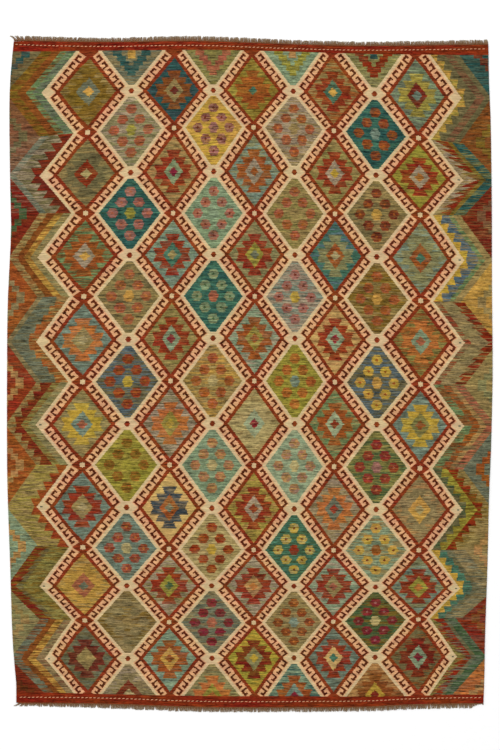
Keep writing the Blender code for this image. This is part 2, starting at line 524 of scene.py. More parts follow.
def put_attribute(piece, name, kind, domain, values):
    """Gives the piece's faces or points a colour, a vector or a number."""
    attribute = piece.data.attributes.new(name, kind, domain)
    field = {"FLOAT_COLOR": "color", "FLOAT_VECTOR": "vector", "FLOAT": "value"}[kind]
    attribute.data.foreach_set(field, np.ascontiguousarray(values, dtype=np.float32).ravel())


def fill(socket, value):
    """Gives an input a number or a colour, or links it to a socket or to the first output
    of a node. None leaves it as it is."""
    if isinstance(value, bpy.types.Node):
        value = next(output for output in value.outputs if output.enabled)
    if isinstance(value, bpy.types.NodeSocket):
        socket.id_data.links.new(value, socket)
    elif value is not None:
        socket.default_value = value


def add(tree, kind, *inputs, **settings):
    """Adds a shader node: its settings, then its inputs in order."""
    node = tree.nodes.new("ShaderNode" + kind)
    for name, value in settings.items():
        setattr(node, name, value)
    shown = [socket for socket in node.inputs if socket.enabled]
    for socket, value in zip(shown, inputs):
        fill(socket, value)
    return node


def new_material(name):
    material = bpy.data.materials.new(name)
    material.use_nodes = True
    return material, material.node_tree


def surface(material, colour, roughness, gloss, normal=None):
    """Gives a material's shader its colour, roughness, gloss and relief."""
    shader = material.node_tree.nodes["Principled BSDF"]
    fill(shader.inputs["Base Color"], colour)
    fill(shader.inputs["Roughness"], roughness)
    fill(shader.inputs["Specular IOR Level"], gloss)
    fill(shader.inputs["Normal"], normal)
    return material


def rgba(colour):
    return (*colour, 1.0)


# ---------------------------------------------------------------- the motifs


# The motifs' sizes are in millimetres, from a motif's middle line to one side of it.
Star = namedtuple("Star", "tier height reach slope shrink")
STAR = Star(tier=28.1, height=84.0, reach=67.0, slope=0.47, shrink=1.35)
HEART_SLOPE = (1, 0.9, 0)
SPOT_ASIDE = 69.0  # the spots' lozenge, in two steps from beside the middle to above it
SPOT_UP = 45.0
SPOT_ROW = 44.0  # the height that belongs to each of the two steps
EYE = (1 / 8, 1 / 5, 0)

# A six-sided patch, or a block where its slope leaves out the height.
Patch = namedtuple("Patch", "slope height")
SPOT = Patch(slope=(1 / 24, 0.6 / 24, 0), height=20.0)
MIDDLE_MARK = Patch(slope=(1 / 22, 0.5 / 22, 0), height=22.0)
VEE_BLOCK = Patch(slope=(1 / 17, 0, 0), height=31.0)

# A lozenge ring of steps.
Steps = namedtuple("Steps", "height slope middle half")
VEE_ARMS = Steps(height=21.0, slope=(1 / 60, 1 / 80, 0), middle=0.98, half=0.33)
GORE_HOOK = Steps(height=24.0, slope=(1 / 52, 1 / 58, 0), middle=1.0, half=0.32)
GORE_MIDDLE = (1.75, 1, 0)  # in columns and rows from the nearest even ones

# A hook's parts: its stem, its bar along the strip and its foot back. u goes along the strip
# from hook to hook and v across it from the red line to the cream line. Each part has its
# middle and its half size in both.
Part = namedtuple("Part", "u half_u v half_v")
HOOK_PARTS = (
    Part(u=0.11, half_u=0.105, v=0.0, half_v=0.87),
    Part(u=0.365, half_u=0.365, v=0.71, half_v=0.16),
    Part(u=0.63, half_u=0.10, v=0.59, half_v=0.27),
)

# The dots where four strips meet, and the dash in the outer diamonds' tips: each has its
# place from the nearest even column and row, its radii and its dye.
Mark = namedtuple("Mark", "place radii dye")
RED_DOT = Mark((1, 0, 0), (11.0, 11.0, 1.0), "red_brown")
CREAM_DOT = Mark((0, 1, 0), (10.0, 10.0, 1.0), "cream")
TIP_DASH = Mark((0.94, 0, 0), (7.0, 2.8, 1.0), "slate")
BLUNT_FROM = 0.90  # columns from the cream-outlined diamond's side, where its tip is cut off
BLUNT_DEPTH = 0.15  # rows


def fold_the_chart(tree, column, row):
    """a, the columns to the nearest even one, which goes on growing past the outer
    diamonds, and b, the rows to the nearest even one."""
    folded = add(tree, "Math", column, 1.0, operation="PINGPONG")
    aside = add(tree, "Math", column, -MIDDLE_COLUMN, operation="ADD")
    aside = add(tree, "Math", aside, operation="ABSOLUTE")
    aside = add(tree, "Math", aside, -MIDDLE_COLUMN, operation="ADD")
    a = add(tree, "Math", folded, aside, operation="MAXIMUM")
    b = add(tree, "Math", row, 1.0, operation="PINGPONG")
    return add(tree, "CombineXYZ", a, b)


def away_from(tree, place, middle):
    """How far one chart place is from another, to the side and up or down, in millimetres."""
    away = add(tree, "VectorMath", place, middle, operation="SUBTRACT")
    away = add(tree, "VectorMath", away, operation="ABSOLUTE")
    return add(tree, "VectorMath", away, CHART_MM, operation="MULTIPLY")


def in_patch(tree, away, patch):
    """1 inside a patch: away . slope < 1 and away's Y < height."""
    aside = add(tree, "VectorMath", away, patch.slope, operation="DOT_PRODUCT")
    aside = add(tree, "Math", aside, 1.0, operation="LESS_THAN")
    up = add(tree, "SeparateXYZ", away)
    up = add(tree, "Math", up.outputs["Y"], patch.height, operation="LESS_THAN")
    return add(tree, "Math", aside, up, operation="MULTIPLY")


def in_steps(tree, away, steps):
    """1 inside a lozenge ring of steps: away . slope, with away's Y taken down to its step,
    is within half of middle."""
    parts = add(tree, "SeparateXYZ", away)
    step = add(tree, "Math", parts.outputs["Y"], steps.height, operation="SNAP")
    stepped = add(tree, "CombineXYZ", parts.outputs["X"], step)
    slope = add(tree, "VectorMath", stepped, steps.slope, operation="DOT_PRODUCT")
    return add(tree, "Math", slope, steps.middle, steps.half, operation="COMPARE")


def draw_medallion(tree, from_middle, dyes, sizes):
    """A stepped star of three tiers, each widening away from the middle row, and in it a
    ring and a heart, both lozenges."""
    parts = add(tree, "SeparateXYZ", from_middle)
    tier = add(tree, "Math", parts.outputs["Y"], STAR.tier, operation="SNAP")
    reach = add(tree, "Math", parts.outputs["Y"], STAR.slope, STAR.reach, operation="MULTIPLY_ADD")
    reach = add(tree, "Math", tier, -STAR.shrink, reach, operation="MULTIPLY_ADD")
    in_star = add(tree, "Math", parts.outputs["X"], reach, operation="LESS_THAN")
    in_tiers = add(tree, "Math", parts.outputs["Y"], STAR.height, operation="LESS_THAN")
    in_star = add(tree, "Math", in_star, in_tiers, operation="MULTIPLY")
    shares = add(tree, "VectorMath", from_middle, sizes, operation="DIVIDE")
    shares = add(tree, "VectorMath", shares, (1, 1, 0), operation="DOT_PRODUCT")
    in_ring = add(tree, "Math", shares, 1.0, operation="LESS_THAN")
    heart_size = add(tree, "SeparateXYZ", sizes)
    heart = add(tree, "VectorMath", from_middle, HEART_SLOPE, operation="DOT_PRODUCT")
    in_heart = add(tree, "Math", heart, heart_size.outputs["Z"], operation="LESS_THAN")
    colour = dyes["ground"]
    for inside, dye in ((in_star, "figure"), (in_ring, "ring"), (in_heart, "heart")):
        colour = add(tree, "Mix", inside, colour, dyes[dye], data_type="RGBA")
    return colour


def draw_spots(tree, from_middle, dyes, mixed):
    """Spots on the lozenge around the middle of a cream-outlined diamond: one above, one
    beside and one between them in each quarter, and a mark in the middle. A spot is a
    six-sided patch of two dyes with a narrow eye."""
    parts = add(tree, "SeparateXYZ", from_middle)
    step = add(tree, "Math", parts.outputs["Y"], 1 / SPOT_ROW, operation="MULTIPLY")
    step = add(tree, "Math", step, operation="ROUND")
    step = add(tree, "Math", step, 2.0, operation="MINIMUM")
    spot_x = add(tree, "Math", step, -SPOT_ASIDE / 2, SPOT_ASIDE, operation="MULTIPLY_ADD")
    spot_y = add(tree, "Math", step, SPOT_UP, operation="MULTIPLY")
    spot = add(tree, "CombineXYZ", spot_x, spot_y)
    away = add(tree, "VectorMath", from_middle, spot, operation="SUBTRACT")
    away = add(tree, "VectorMath", away, operation="ABSOLUTE")
    in_spot = in_patch(tree, away, SPOT)
    in_middle = in_patch(tree, from_middle, MIDDLE_MARK)
    eye = add(tree, "VectorMath", away, EYE, operation="DOT_PRODUCT")
    in_eye = add(tree, "Math", eye, 1.0, operation="LESS_THAN")
    spots = add(tree, "Mix", mixed, dyes["figure"], dyes["ring"], data_type="RGBA")
    colour = dyes["ground"]
    for inside, dye in ((in_spot, spots), (in_eye, dyes["crossing"]), (in_middle, dyes["heart"])):
        colour = add(tree, "Mix", inside, colour, dye, data_type="RGBA")
    return colour


def draw_vee(tree, from_middle, dyes):
    """A V of stepped arms, the lower half of a lozenge ring, and a block between its tops."""
    in_arms = in_steps(tree, from_middle, VEE_ARMS)
    in_block = in_patch(tree, from_middle, VEE_BLOCK)
    colour = add(tree, "Mix", in_arms, dyes["ground"], dyes["figure"], data_type="RGBA")
    return add(tree, "Mix", in_block, colour, dyes["heart"], data_type="RGBA")


def draw_border(tree, folded, across, dyes, sizes, teeth, reach):
    """Nested chevrons at even distances from the cream line, some with a saw of teeth on
    their outer edge, and past them the gore with its stepped hook, which is half of a
    lozenge ring that the selvedge cuts."""
    width = add(tree, "Math", across, -CREAM_LINE_TO, operation="ADD")
    width = add(tree, "Math", width, BORDER_MM, operation="MULTIPLY")
    parts = add(tree, "SeparateXYZ", folded)
    saw = add(tree, "Math", parts.outputs["Y"], float(HOOKS), operation="MULTIPLY")
    saw = add(tree, "Math", saw, operation="FRACT")
    edges = add(tree, "VectorMath", teeth, saw, sizes, operation="MULTIPLY_ADD")
    edges = add(tree, "SeparateXYZ", edges)
    colour = dyes["ground"]
    for edge, dye in (("X", "figure"), ("Y", "ring"), ("Z", "heart")):
        past = add(tree, "Math", width, edges.outputs[edge], operation="GREATER_THAN")
        colour = add(tree, "Mix", past, colour, dyes[dye], data_type="RGBA")
    in_gore = add(tree, "Math", width, reach, operation="GREATER_THAN")
    in_hook = in_steps(tree, away_from(tree, folded, GORE_MIDDLE), GORE_HOOK)
    gore = add(tree, "Mix", in_hook, dyes["gore"], dyes["hook"], data_type="RGBA")
    return add(tree, "Mix", in_gore, colour, gore, data_type="RGBA")


def draw_strip(tree, folded, across, column, row, inner, wool):
    """The outline between two diamonds: a red line, five hooks on it and a cream line,
    with a dot at each crossing and a dash in some of the outer tips."""
    along = add(tree, "VectorMath", folded, ALONG_STRIP, operation="DOT_PRODUCT")
    count = add(tree, "Math", along, -FIRST_HOOK, operation="ADD")
    count = add(tree, "Math", count, 1 / HOOK_PITCH, operation="MULTIPLY")
    u = add(tree, "Math", count, operation="FRACT")
    v = add(tree, "Math", across, -HOOKS_FROM, operation="ADD")
    v = add(tree, "Math", v, 1 / (CREAM_LINE_FROM - HOOKS_FROM), operation="MULTIPLY")
    hook = 0.0
    for part in HOOK_PARTS:
        in_length = add(tree, "Math", u, part.u, part.half_u, operation="COMPARE")
        in_width = add(tree, "Math", v, part.v, part.half_v, operation="COMPARE")
        in_part = add(tree, "Math", in_length, in_width, operation="MULTIPLY")
        hook = add(tree, "Math", hook, in_part, operation="MAXIMUM")
    counted = add(tree, "Math", count, HOOKS / 2, HOOKS / 2, operation="COMPARE")
    hook = add(tree, "Math", hook, counted, operation="MULTIPLY")
    past_hooks = add(tree, "Math", count, float(HOOKS), operation="GREATER_THAN")
    before_hooks = add(tree, "Math", count, CREAM_UNTIL, operation="LESS_THAN")
    in_red = add(tree, "Math", across, HOOKS_FROM, operation="LESS_THAN")
    in_cream = add(tree, "Math", across, CREAM_LINE_FROM, operation="GREATER_THAN")
    colour = wool["blush"]
    for inside, dye in (
        (hook, "hook_brown"),
        (past_hooks, "red_brown"),
        (before_hooks, "cream"),
        (in_red, "red_brown"),
        (in_cream, "cream"),
    ):
        colour = add(tree, "Mix", inside, colour, wool[dye], data_type="RGBA")

    # The red dots are between the outer columns' middles and the cream ones between the
    # bands. The dashes are in the tips on the right, and in the lower ones on the left.
    in_rows = add(tree, "Math", row, LAST_ROW / 2 - 0.5, LAST_ROW / 2, operation="COMPARE")
    outer = add(tree, "Math", 1.0, inner, operation="SUBTRACT")
    lower = add(tree, "Math", column, *DASHED_FROM, operation="MULTIPLY_ADD")
    lower = add(tree, "Math", row, lower, operation="GREATER_THAN")
    dashed = add(tree, "Math", outer, lower, operation="MULTIPLY")
    for mark, where in ((RED_DOT, inner), (CREAM_DOT, in_rows), (TIP_DASH, dashed)):
        away = away_from(tree, folded, mark.place)
        away = add(tree, "VectorMath", away, mark.radii, operation="DIVIDE")
        away = add(tree, "VectorMath", away, operation="LENGTH")
        inside = add(tree, "Math", away, 1.0, operation="LESS_THAN")
        inside = add(tree, "Math", inside, where, operation="MULTIPLY")
        colour = add(tree, "Mix", inside, colour, wool[mark.dye], data_type="RGBA")
    return colour


def on_the_strip(tree, folded, across, inner):
    """1 on a strip, and in the tips of the diamonds outlined in cream, which are blunt."""
    half = (CREAM_LINE_TO - RED_LINE_FROM) / 2
    on_strip = add(tree, "Math", across, CREAM_LINE_TO - half, half, operation="COMPARE")
    parts = add(tree, "SeparateXYZ", folded)
    blunt = add(tree, "Math", parts.outputs["X"], BLUNT_FROM, operation="GREATER_THAN")
    low = add(tree, "Math", parts.outputs["Y"], BLUNT_DEPTH, operation="LESS_THAN")
    blunt = add(tree, "Math", blunt, low, operation="MULTIPLY")
    blunt = add(tree, "Math", blunt, inner, operation="MULTIPLY")
    return add(tree, "Math", on_strip, blunt, operation="MAXIMUM")


# ---------------------------------------------------------------- the wool


ROW_MM = 3.5  # a drawn row of yarn, which stands for two or three passes of weft
PASS_MM = 1.4  # one pass of weft
WARP_PAIR_MM = 7.0
UNLIKE_ROWS = 391.7  # how far apart two rows of yarn, and two passes, lie in the noise, so
UNLIKE_PASSES = 713.3  # that no row is like the next
Streak = namedtuple("Streak", "stretch scale detail roughness")
HANK = Streak(stretch=(1, 1, 0), scale=3.5, detail=4.0, roughness=0.68)  # shades, some 30 mm long
BATH = Streak(stretch=(0.3, 1, 0), scale=6.0, detail=1.0, roughness=0.5)  # dyes, some 80 mm long
LOT = Streak(stretch=(0.9, 3.2, 0), scale=1.0, detail=2.0, roughness=0.5)  # patches of rows
PASSES = (12.0, 2.0, 0.6)  # the passes' noise: its scale, detail and roughness
FLEECE = "#e7d7b8"  # the whitest wool
STRAY_MM = (20, 7)  # how far a row strays inside the diamonds, and in the outlines

# Each turns a noise, or the colour's brightness, between low and high evenly into a number
# between first and last.
Range = namedtuple("Range", "low high first last")
STREAK_SHARE = Range(low=0.78, high=0.90, first=0.0, last=0.85)
CROSSING_SHARE = Range(low=0.48, high=0.60, first=0.0, last=0.8)
SECOND_SHARE = Range(low=0.45, high=0.60, first=0.0, last=0.9)
HANK_VALUE = Range(low=0.27, high=0.70, first=0.24, last=1.60)
PASS_VALUE = Range(low=0.25, high=0.75, first=0.75, last=1.25)
BATH_VALUE = Range(low=0.3, high=0.7, first=0.78, last=1.22)
LOT_HUE = Range(low=0.3, high=0.7, first=0.493, last=0.507)
UNEVENNESS = Range(low=0.22, high=0.42, first=1.0, last=0.35)
ROUGHNESS = Range(low=0.3, high=0.7, first=0.84, last=0.96)
LOT_WEIGHT = 0.6  # what the lot counts for in a streak, where the bath counts for 1
SPARSE = 0.22  # the streak's share in its single rows
CROSSES = (0.7, 0.3)  # how much more rows cross the border than diamonds, and how much those
CROSSES_GORE = 0.35  # the share of it in the gores
PASS_RELIEF = 2.0  # heights of the passes and the uneven yarn, where the crossings' is 1
HANK_RELIEF = 3.0
WEAVE_BUMP = (0.6, 0.25 * MM)  # strength and height
WOOL_GLOSS = 0.06


def streaks(tree, place, streak):
    """Three noises at once, as red, green and blue, over a stretched place."""
    place = add(tree, "VectorMath", place, streak.stretch, operation="MULTIPLY")
    noise = add(tree, "TexNoise", place, *streak[1:], noise_dimensions="2D")
    return add(tree, "SeparateColor", noise.outputs["Color"])


def rows_of(tree, place, height, apart):
    """A place for noise that is even along each row of that height, in millimetres."""
    row = add(tree, "Math", place.outputs["Y"], height * MM / HALF_ROW, operation="SNAP")
    row = add(tree, "Math", row, apart, operation="MULTIPLY")
    return add(tree, "CombineXYZ", place.outputs["X"], row)


def draw_pattern(tree, place, hank, bath, lot, wool):
    """The colour of every motif. A step of the pattern is one warp, 3.5 mm, across and two
    passes of weft, 2.8 mm, along. A row's turning point strays by a warp to either side,
    and by more inside the diamonds."""
    stray = add(tree, "Math", hank.outputs["Blue"], -0.5, operation="ADD")
    row = add(tree, "Math", place.outputs["Y"], WEFT_STEP, operation="SNAP")
    row = add(tree, "Math", row, WEFT_STEP / 2, operation="ADD")
    columns = []
    for millimetres in STRAY_MM:
        by = millimetres * MM / HALF_COLUMN
        column = add(tree, "Math", stray, by, place.outputs["X"], operation="MULTIPLY_ADD")
        columns.append(add(tree, "Math", column, WARP_STEP, operation="SNAP"))
    motif_column, column = columns
    folded = fold_the_chart(tree, column, row)
    across = add(tree, "VectorMath", folded, ACROSS_STRIP, operation="DOT_PRODUCT")
    inner = add(tree, "Math", column, float(MIDDLE_COLUMN), MIDDLE_COLUMN + 0.5, operation="COMPARE")

    dyes = {
        name: add(tree, "Attribute", attribute_name=name).outputs["Color"] for name in CARRIED_DYES
    }
    middle, sizes, teeth = (
        add(tree, "Attribute", attribute_name=name).outputs["Vector"]
        for name in ("middle", "sizes", "teeth")
    )
    reach, kind, inside = (
        add(tree, "Attribute", attribute_name=name).outputs["Fac"]
        for name in ("reach", "kind", "inside")
    )
    from_middle = away_from(tree, add(tree, "CombineXYZ", motif_column, row), middle)
    patches, runs = lot.outputs["Green"], bath.outputs["Green"]
    streaked = add(tree, "Math", patches, LOT_WEIGHT, runs, operation="MULTIPLY_ADD")
    streaked = add(tree, "MapRange", streaked, *STREAK_SHARE)
    crossed = add(tree, "MapRange", bath.outputs["Blue"], *CROSSING_SHARE)
    mixed = add(tree, "MapRange", hank.outputs["Green"], *SECOND_SHARE)
    # Single rows of the streak run all over the ground, and it takes over in patches.
    sparse = add(tree, "Math", mixed, SPARSE, operation="MULTIPLY")
    streaked = add(tree, "Math", streaked, sparse, operation="MAXIMUM")
    dyes["ground"] = add(tree, "Mix", streaked, dyes["ground"], dyes["streak"], data_type="RGBA")
    # Rows of the ground cross the motifs, and rows of another dye the border.
    at_side = add(tree, "Math", kind, float(BORDER), 0.5, operation="COMPARE")
    other = add(tree, "Mix", at_side, dyes["ground"], dyes["crossing"], data_type="RGBA")
    crossing = add(tree, "Math", at_side, *CROSSES, operation="MULTIPLY_ADD")
    crossing = add(tree, "Math", crossing, crossed, operation="MULTIPLY")
    for name in ("figure", "ring", "heart", "gore", "hook"):
        share = CROSSES_GORE if name in GORE_DYES else 1.0
        share = add(tree, "Math", crossing, share, operation="MULTIPLY")
        dyes[name] = add(tree, "Mix", share, dyes[name], other, data_type="RGBA")

    colour = draw_medallion(tree, from_middle, dyes, sizes)
    motifs = {
        SPOTS: draw_spots(tree, from_middle, dyes, mixed),
        VEE: draw_vee(tree, from_middle, dyes),
        BORDER: draw_border(tree, folded, across, dyes, sizes, teeth, reach),
    }
    for number, motif in motifs.items():
        chosen = add(tree, "Math", kind, float(number), 0.5, operation="COMPARE")
        colour = add(tree, "Mix", chosen, colour, motif, data_type="RGBA")
    strip = draw_strip(tree, folded, across, column, row, inner, wool)
    on_strip = on_the_strip(tree, folded, across, inner)
    colour = add(tree, "Mix", on_strip, colour, strip, data_type="RGBA")
    patterned = add(tree, "Math", inside, 0.0, operation="GREATER_THAN")
    return add(tree, "Mix", patterned, wool["madder"], colour, data_type="RGBA")


def woven_wool(book):
    """Weft-faced wool: hand-spun weft beaten down over a hidden warp. The eye sees matt wool
    in thin rows, each dye streaked where the yarn of one bath gives way to the next, low
    bumps where the weft crosses the warps, and hardly any gloss."""
    material, tree = new_material("weft_faced_wool")
    chart = add(tree, "UVMap", uv_map="chart")
    place = add(tree, "SeparateXYZ", chart)
    yarn = rows_of(tree, place, ROW_MM, UNLIKE_ROWS)
    hank = streaks(tree, yarn, HANK)
    bath = streaks(tree, yarn, BATH)
    lot = streaks(tree, chart, LOT)
    wool = {name: rgba(getattr(book, name)) for name in DYES}
    colour = draw_pattern(tree, place, hank, bath, lot, wool)

    fine = rows_of(tree, place, PASS_MM, UNLIKE_PASSES)
    fine = add(tree, "TexNoise", fine, *PASSES, noise_dimensions="2D")
    value = add(tree, "MapRange", hank.outputs["Red"], *HANK_VALUE)
    for noise, shades in ((fine, PASS_VALUE), (bath.outputs["Red"], BATH_VALUE)):
        shade = add(tree, "MapRange", noise, *shades)
        value = add(tree, "Math", value, shade, operation="MULTIPLY")
    # Pale wool, hardly dyed, is more even.
    depth = add(tree, "RGBToBW", colour)
    depth = add(tree, "MapRange", depth, *UNEVENNESS)
    value = add(tree, "Mix", depth, 1.0, value)
    hue = add(tree, "MapRange", lot.outputs["Red"], *LOT_HUE)
    colour = add(tree, "HueSaturation", hue, 1.0, value, 1.0, colour)
    colour = add(tree, "VectorMath", colour, linear(FLEECE), operation="MINIMUM")
    roughness = add(tree, "MapRange", fine, *ROUGHNESS)

    # The weave's relief: a bump at every crossing, two warps by two passes, and uneven yarn.
    ribs = 2 * np.pi * HALF_COLUMN / (WARP_PAIR_MM * MM)
    ribs = add(tree, "Math", place.outputs["X"], ribs, operation="MULTIPLY")
    ribs = add(tree, "Math", ribs, operation="SINE")
    rows = 2 * np.pi * HALF_ROW / (2 * PASS_MM * MM)
    rows = add(tree, "Math", place.outputs["Y"], rows, operation="MULTIPLY")
    rows = add(tree, "Math", rows, operation="SINE")
    relief = add(tree, "Math", ribs, rows, operation="MULTIPLY")
    for noise, rise in ((fine, PASS_RELIEF), (hank.outputs["Red"], HANK_RELIEF)):
        relief = add(tree, "Math", noise, rise, relief, operation="MULTIPLY_ADD")
    bump = add(tree, "Bump", *WEAVE_BUMP, None, relief)
    return surface(material, colour, roughness, gloss=WOOL_GLOSS, normal=bump)


# ---------------------------------------------------------------- the cloth


# A diamond's ring and heart: the ring's half width and half height and the heart's half
# width, in mm, with a star around them, without one, and in the near end's half diamonds.
STAR_SIZES = (40, 54, 19)
LOZENGE_SIZES = (46, 58, 20)
HALF_LOZENGE_SIZES = (60, 66, 26)
RIM_MM = np.array([0, 0.4, 1.0, 2.0, 4.0, 7.0])  # where the grid lines lie at the cloth's edges
# The OFBake map: how large the face and the underside lie in it, and from where.
MAP_FACE = (0.73, 0.99)
MAP_UNDERSIDE = (0.25, 0.99)
MAP_ASIDE = (0.745, 0)
MAP_MARGIN = 0.003


def chart_of_dyes(book):
    """The dyes and sizes of every diamond, chevron and gore, each at its place on the chart,
    as arrays over the chart's rows and columns."""
    shape = (LAST_ROW - FIRST_ROW + 1, LAST_COLUMN - FIRST_COLUMN + 1)
    chart = {name: np.ones((*shape, 4)) for name in CARRIED_DYES}
    rows, columns = np.mgrid[FIRST_ROW : LAST_ROW + 1, FIRST_COLUMN : LAST_COLUMN + 1]
    chart["middle"] = np.stack([columns, rows, 0 * rows], axis=-1).astype(float)
    chart["middle"][-1, :, 1] = BAND_NEAR
    chart["sizes"] = np.ones((*shape, 3))
    chart["teeth"] = np.zeros((*shape, 3))
    chart["reach"] = np.zeros(shape)
    chart["kind"] = np.zeros(shape)
    for kind, motifs, names in (
        (MEDALLION, MEDALLIONS, LAYER_DYES),
        (SPOTS, SPOTTED, LAYER_DYES),
        (VEE, VEES, VEE_DYES),
        (BORDER, CHEVRONS, LAYER_DYES),
        (BORDER, GORES, GORE_DYES),
    ):
        for motif in motifs:
            place = (motif.row - FIRST_ROW, motif.column - FIRST_COLUMN)
            dyes = motif.dyes.split()
            chart["kind"][place] = kind
            for name, dye in zip(names, dyes):
                chart[name][place] = rgba(getattr(book, dye))
            if kind == MEDALLION:
                plain = HALF_LOZENGE_SIZES if motif.row == LAST_ROW else LOZENGE_SIZES
                has_star = dyes[names.index("figure")] != dyes[names.index("ground")]
                chart["sizes"][place] = STAR_SIZES if has_star else plain
            if motifs is CHEVRONS:
                edges = np.cumsum(motif.widths)
                chart["sizes"][place] = edges[:3]
                chart["reach"][place] = edges[3]
                chart["teeth"][place] = motif.teeth
    return chart


def nearest_even(places, first, last):
    return np.clip(2 * np.round(places / 2), first, last).astype(int)


def nearest_odd(places, first, last):
    return np.clip(2 * np.floor(places / 2) + 1, first, last).astype(int)


def dyes_of_faces(s, t, book):
    """What each face carries, from the chart place of its middle: the dyes of the diamond
    or the chevron that it lies in, and those of the nearest gore."""
    a = np.maximum(np.abs(s - 2 * np.round(s / 2)), np.abs(s - MIDDLE_COLUMN) - MIDDLE_COLUMN)
    b = np.abs(t - 2 * np.round(t / 2))
    outside = a * ACROSS_STRIP[0] + b * ACROSS_STRIP[1] > SPLIT
    at_side = outside & (np.abs(s - MIDDLE_COLUMN) > MIDDLE_COLUMN)
    side = np.where(s < MIDDLE_COLUMN, FIRST_COLUMN, LAST_COLUMN)
    even_row = nearest_even(t, FIRST_ROW + 1, LAST_ROW - 1)
    odd_row = nearest_odd(t, FIRST_ROW, LAST_ROW)
    row = np.where(outside & ~at_side, odd_row, even_row) - FIRST_ROW
    even_column = nearest_even(s, FIRST_COLUMN + 1, LAST_COLUMN - 1)
    odd_column = nearest_odd(s, FIRST_COLUMN + 2, LAST_COLUMN - 2)
    column = np.where(outside, odd_column, even_column)
    column = np.where(at_side, side, column) - FIRST_COLUMN
    chart = chart_of_dyes(book)
    carried = {name: values[row, column] for name, values in chart.items()}
    for name in GORE_DYES:
        carried[name] = chart[name][odd_row - FIRST_ROW, side - FIRST_COLUMN]
    return carried


def grid_lines(first, last):
    """The chart places of the cloth's grid lines: evenly spaced, and close together at
    the edges, where the cloth is rounded."""
    rim = RIM_MM * MM / HALF_COLUMN
    start = np.ceil(first * FACES_PER_STEP + 0.8)
    stop = np.floor(last * FACES_PER_STEP - 0.8)
    inner = np.arange(start, stop + 1) / FACES_PER_STEP
    return np.concatenate([first + rim, inner, last - rim[::-1]])


def quads(index):
    """The faces of a grid of points."""
    corners = [index[:-1, :-1], index[:-1, 1:], index[1:, 1:], index[1:, :-1]]
    return np.stack(corners, axis=-1).reshape(-1, 4)


def weave_cloth(sizes, book):
    """The cloth as one closed surface over the chart's columns and rows.

    Its upper side stands above and its underside below the middle of its thickness by
    the same amount, T/2 * sqrt(1 - (1 - d/T*2)**2) for a distance d from the edge under
    T/2, and T/2 further in, so that the two sides meet in a round rim. Both ride on the
    slow lift off the floor.
    """
    lines_s = grid_lines(LEFT_SELVEDGE, RIGHT_SELVEDGE)
    lines_t = grid_lines(FAR_END, NEAR_END)
    s, t = np.meshgrid(lines_s, lines_t, indexing="ij")
    x, y = on_the_rug(s, t)
    to_side = np.minimum(x - edge_at("left", y), edge_at("right", y) - x)
    to_end = np.minimum(edge_at("far", x) - y, y - edge_at("near", x))
    half = sizes.thickness / 2
    inward = np.clip(np.minimum(to_side, to_end) / half, 0, 1)
    swell = half * np.sqrt(1 - (1 - inward) ** 2)
    middle = half + lift_of_floor(x, y, sizes.lift)

    upper = np.arange(s.size).reshape(s.shape)
    lower = upper.copy()
    inner = (slice(1, -1), slice(1, -1))
    lower[inner] = s.size + np.arange(s[inner].size).reshape(s[inner].shape)
    top = np.stack([x, y, middle + swell], axis=-1).reshape(-1, 3)
    under = np.stack([x[inner], y[inner], (middle - swell)[inner]], axis=-1).reshape(-1, 3)
    points = np.concatenate([top, under])
    faces = np.concatenate([quads(upper), quads(lower)[:, ::-1]])
    cloth = make_piece("kilim_weave", points, faces.tolist(), woven_wool(book))

    # The chart place of each face's corners, and the same as two maps side by side in the
    # OFBake map, the face's and the narrower underside's.
    places = np.stack([s, t], axis=-1).reshape(-1, 2)[quads(upper)]
    corner_places = np.concatenate([places, places[:, ::-1]])
    cloth.data.uv_layers.new(name="chart").data.foreach_set("uv", corner_places.ravel())
    flat = corner_places - (LEFT_SELVEDGE, NEAR_END)
    flat = flat / (RIGHT_SELVEDGE - LEFT_SELVEDGE, FAR_END - NEAR_END)
    face, underside = np.split(flat, 2)
    bake = [face * MAP_FACE, underside * MAP_UNDERSIDE + MAP_ASIDE]
    bake = np.concatenate(bake) + MAP_MARGIN
    cloth.data.uv_layers.new(name="OFBake").data.foreach_set("uv", bake.ravel())

    columns = [edge.column for edge in BAND_EDGES]
    from_far = t - np.interp(s, columns, [edge.far for edge in BAND_EDGES])
    from_near = np.interp(s, columns, [edge.near for edge in BAND_EDGES]) - t
    inside = np.minimum(from_far, from_near)
    inside = np.concatenate([inside.ravel(), inside[inner].ravel()])
    put_attribute(cloth, "inside", "FLOAT", "POINT", inside)
    middles = places.mean(axis=1)
    middles = np.concatenate([middles, middles])
    for name, values in dyes_of_faces(middles[:, 0], middles[:, 1], book).items():
        kind = {1: "FLOAT", 3: "FLOAT_VECTOR", 4: "FLOAT_COLOR"}[values[0].size]
        put_attribute(cloth, name, kind, "FACE", values)
    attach(cloth, "root")
    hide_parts("kilim_cloth")
    return cloth


# ---------------------------------------------------------------- the fringe


# How far the strands reach from the cloth's end, in metres, at stations across the rug.
Reach = namedtuple("Reach", "across far near")
FRINGE_REACH = (
    Reach(-1.00, 0.021, 0.014),
    Reach(-0.78, 0.021, 0.018),
    Reach(-0.57, 0.020, 0.021),
    Reach(-0.25, 0.023, 0.022),
    Reach(-0.04, 0.022, 0.021),
    Reach(0.48, 0.019, 0.021),
    Reach(0.69, 0.020, 0.022),
    Reach(0.93, 0.021, 0.021),
    Reach(0.96, 0.021, 0.008),
    Reach(1.00, 0.021, 0.006),
)
STRANDS_PER_LOCK = 11
STRAND_SIDES = 4
STRAND_RINGS = 5
STRAND_ROOT = 2.0 * MM  # how far a strand starts inside the cloth
FROM_CORNER = 1.5 * MM
GATHERED = 0.12  # how far a lock's strands draw together at their tips
CORNER_LOCKS = (-21, -12, -5)  # how far the left corner's locks stray sideways, in mm
LOCK_STRAY_MM = 2.2  # how far the other locks do, and a strand in its lock
